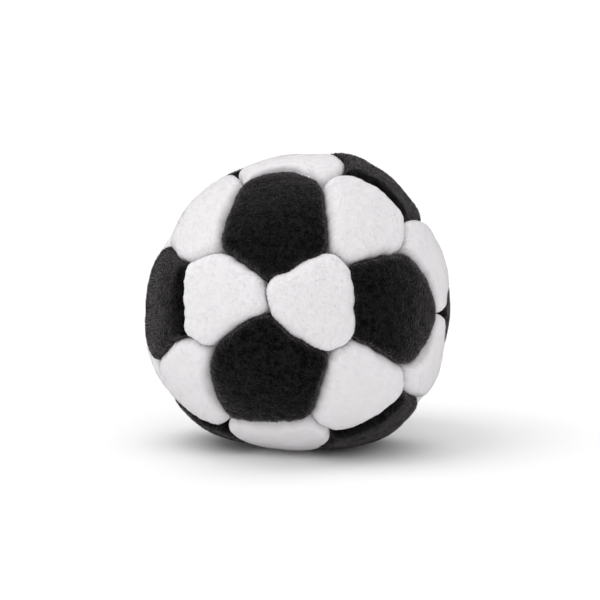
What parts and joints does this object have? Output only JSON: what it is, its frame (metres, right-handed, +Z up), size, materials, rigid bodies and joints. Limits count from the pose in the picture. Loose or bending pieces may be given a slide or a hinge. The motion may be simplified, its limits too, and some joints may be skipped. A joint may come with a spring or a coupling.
{
  "type": "footbag",
  "caption": "Small sewn cloth ball in the black and white football pattern, loosely filled, with a flat pressed into its underside, for keeping up in the air with the feet.",
  "frame": {"origin": "on the floor under the middle of the ball's outline, as it stands on the flat in its underside", "axes": "+Z up, away from the floor; -Y towards the viewer of the pictured side; +X to that viewer's right"},
  "size_m": [0.049, 0.0498, 0.0471],
  "materials": {
    "black_cloth": "short brushed nap, matt, slightly silvery at grazing angles",
    "white_cloth": "short brushed nap, matt",
    "thread": "twisted sewing thread, slight sheen",
    "pellets": "small moulded pellets"
  },
  "bodies": {
    "root": {"black_panel_01": "black_cloth", "black_panel_02": "black_cloth", "black_panel_03": "black_cloth", "black_panel_04": "black_cloth", "black_panel_05": "black_cloth", "black_panel_06": "black_cloth", "black_panel_07": "black_cloth", "black_panel_08": "black_cloth", "black_panel_09": "black_cloth", "black_panel_10": "black_cloth", "black_panel_11": "black_cloth", "black_panel_12": "black_cloth", "white_panel_01": "white_cloth", "white_panel_02": "white_cloth", "white_panel_03": "white_cloth", "white_panel_04": "white_cloth", "white_panel_05": "white_cloth", "white_panel_06": "white_cloth", "white_panel_07": "white_cloth", "white_panel_08": "white_cloth", "white_panel_09": "white_cloth", "white_panel_10": "white_cloth", "white_panel_11": "white_cloth", "white_panel_12": "white_cloth", "white_panel_13": "white_cloth", "white_panel_14": "white_cloth", "white_panel_15": "white_cloth", "white_panel_16": "white_cloth", "white_panel_17": "white_cloth", "white_panel_18": "white_cloth", "white_panel_19": "white_cloth", "white_panel_20": "white_cloth", "pellet_filling": "pellets", "seam_thread_01": "thread", "seam_thread_02": "thread", "seam_thread_03": "thread", "seam_thread_04": "thread", "seam_thread_05": "thread", "seam_thread_06": "thread", "seam_thread_07": "thread", "seam_thread_08": "thread", "seam_thread_09": "thread", "seam_thread_10": "thread", "seam_thread_11": "thread", "seam_thread_12": "thread"}
  },
  "joints": []
}
